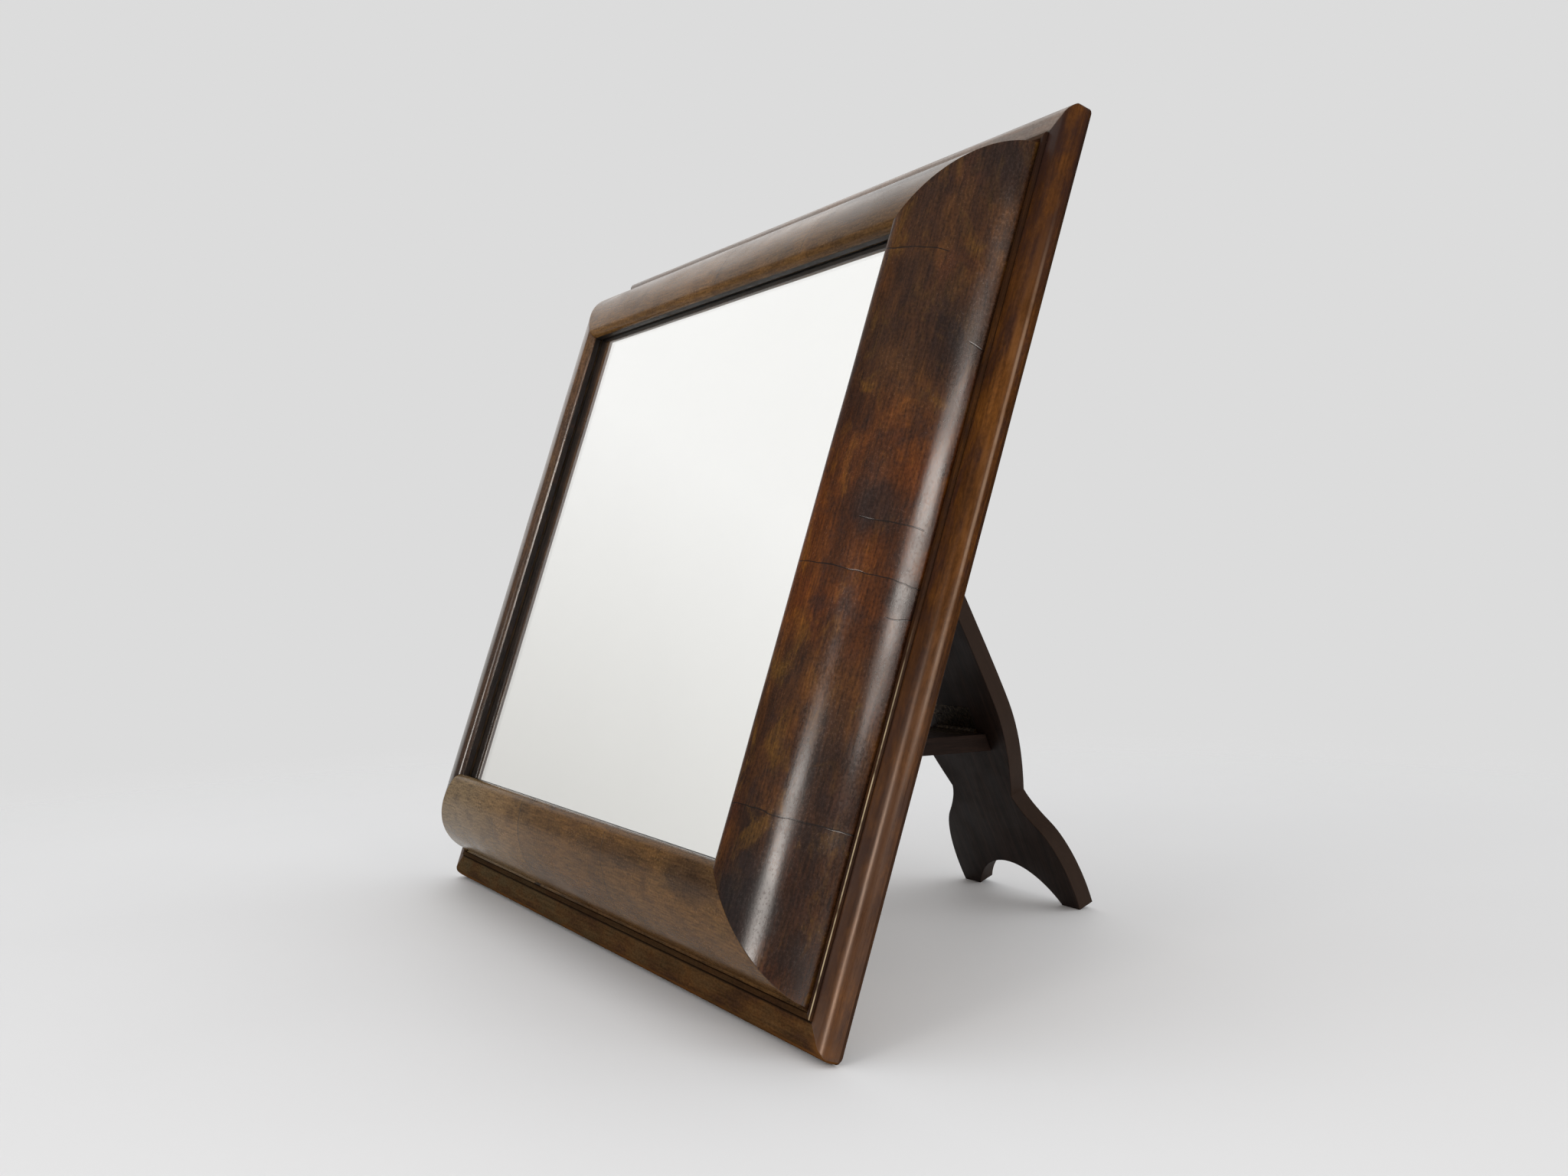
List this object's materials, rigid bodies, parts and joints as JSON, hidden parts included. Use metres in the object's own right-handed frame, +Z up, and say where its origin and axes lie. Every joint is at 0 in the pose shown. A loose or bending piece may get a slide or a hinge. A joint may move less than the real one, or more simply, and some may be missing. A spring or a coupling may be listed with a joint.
{
  "type": "table mirror",
  "caption": "Easel-back table mirror: a veneered cushion frame round a silvered glass leans on a hinged, shaped strut held open by a folding hooked stay.",
  "frame": {"origin": "centre of the box's underside, on the surface the mirror stands on", "axes": "+X to the viewer's right along the frame's width, +Y back towards the strut, +Z up"},
  "size_m": [0.5, 0.3106, 0.4052],
  "materials": {
    "walnut_veneer": "old polished veneer, glossy",
    "walnut_edge": "polished solid wood",
    "ebonised_slip": "stained black, satin",
    "pine_core": "old bare softwood",
    "pine_back": "old bare softwood",
    "dark_strut_wood": "dark stained, satin",
    "mirror_glass": "clear plate glass",
    "silvering": "silvered",
    "brass": "aged brass",
    "iron": "old iron"
  },
  "bodies": {
    "frame": {"bottom_rail_core": "pine_core", "right_stile_core": "pine_core", "top_rail_core": "pine_core", "left_stile_core": "pine_core", "bottom_veneer": "walnut_veneer", "right_veneer": "walnut_veneer", "top_veneer": "walnut_veneer", "left_veneer": "walnut_veneer", "bottom_edge_moulding": "walnut_edge", "right_edge_moulding": "walnut_edge", "top_edge_moulding": "walnut_edge", "left_edge_moulding": "walnut_edge", "bottom_sight_slip": "ebonised_slip", "right_sight_slip": "ebonised_slip", "top_sight_slip": "ebonised_slip", "left_sight_slip": "ebonised_slip", "mitre_keys": "pine_core", "mirror_glass": "mirror_glass", "silvering": "silvering", "glass_blocks": "pine_back", "backboard": "pine_back", "backboard_brads": "iron", "hinge_cleat": "dark_strut_wood", "cleat_screws": "brass", "cleat_hinge_leaf": "brass", "cleat_leaf_screws": "brass", "strut_hinge_pin": "brass", "stay_rail": "pine_back", "stay_rail_blocks": "pine_back", "rail_hinge_leaf": "brass", "rail_leaf_screws": "brass", "front_stay_hinge_pin": "brass"},
    "strut": {"strut_board": "dark_strut_wood", "strut_hinge_leaf": "brass", "strut_leaf_screws": "brass", "strut_stay_leaf": "brass", "strut_stay_screws": "brass", "rear_stay_hinge_pin": "brass"},
    "stay_rear_leaf": {"rear_stay": "dark_strut_wood", "rear_stay_leaf": "brass", "rear_stay_screws": "brass", "hook_pin": "dark_strut_wood"},
    "stay_front_leaf": {"front_stay": "dark_strut_wood", "front_stay_leaf": "brass", "front_stay_screws": "brass"}
  },
  "joints": [
    {"name": "strut_fold", "type": "hinge", "parent": "frame", "child": "strut", "pos_m": [0, 0.00136, 0.34094], "axis": [-1, 0, 0], "range_deg": [0, 41.7]},
    {"name": "rear_stay_fold", "type": "hinge", "parent": "strut", "child": "stay_rear_leaf", "pos_m": [0, 0.10206, 0.1037], "axis": [-1, 0, 0], "range_deg": [0, 67]},
    {"name": "front_stay_fold", "type": "hinge", "parent": "frame", "child": "stay_front_leaf", "pos_m": [0, -0.10721, 0.0952], "axis": [1, 0, 0], "range_deg": [0, 71.3]}
  ],
  "couplings": [
    {"joint": "rear_stay_fold", "follows": "strut_fold", "ratio": 1.6067},
    {"joint": "front_stay_fold", "follows": "strut_fold", "ratio": 1.7098}
  ]
}
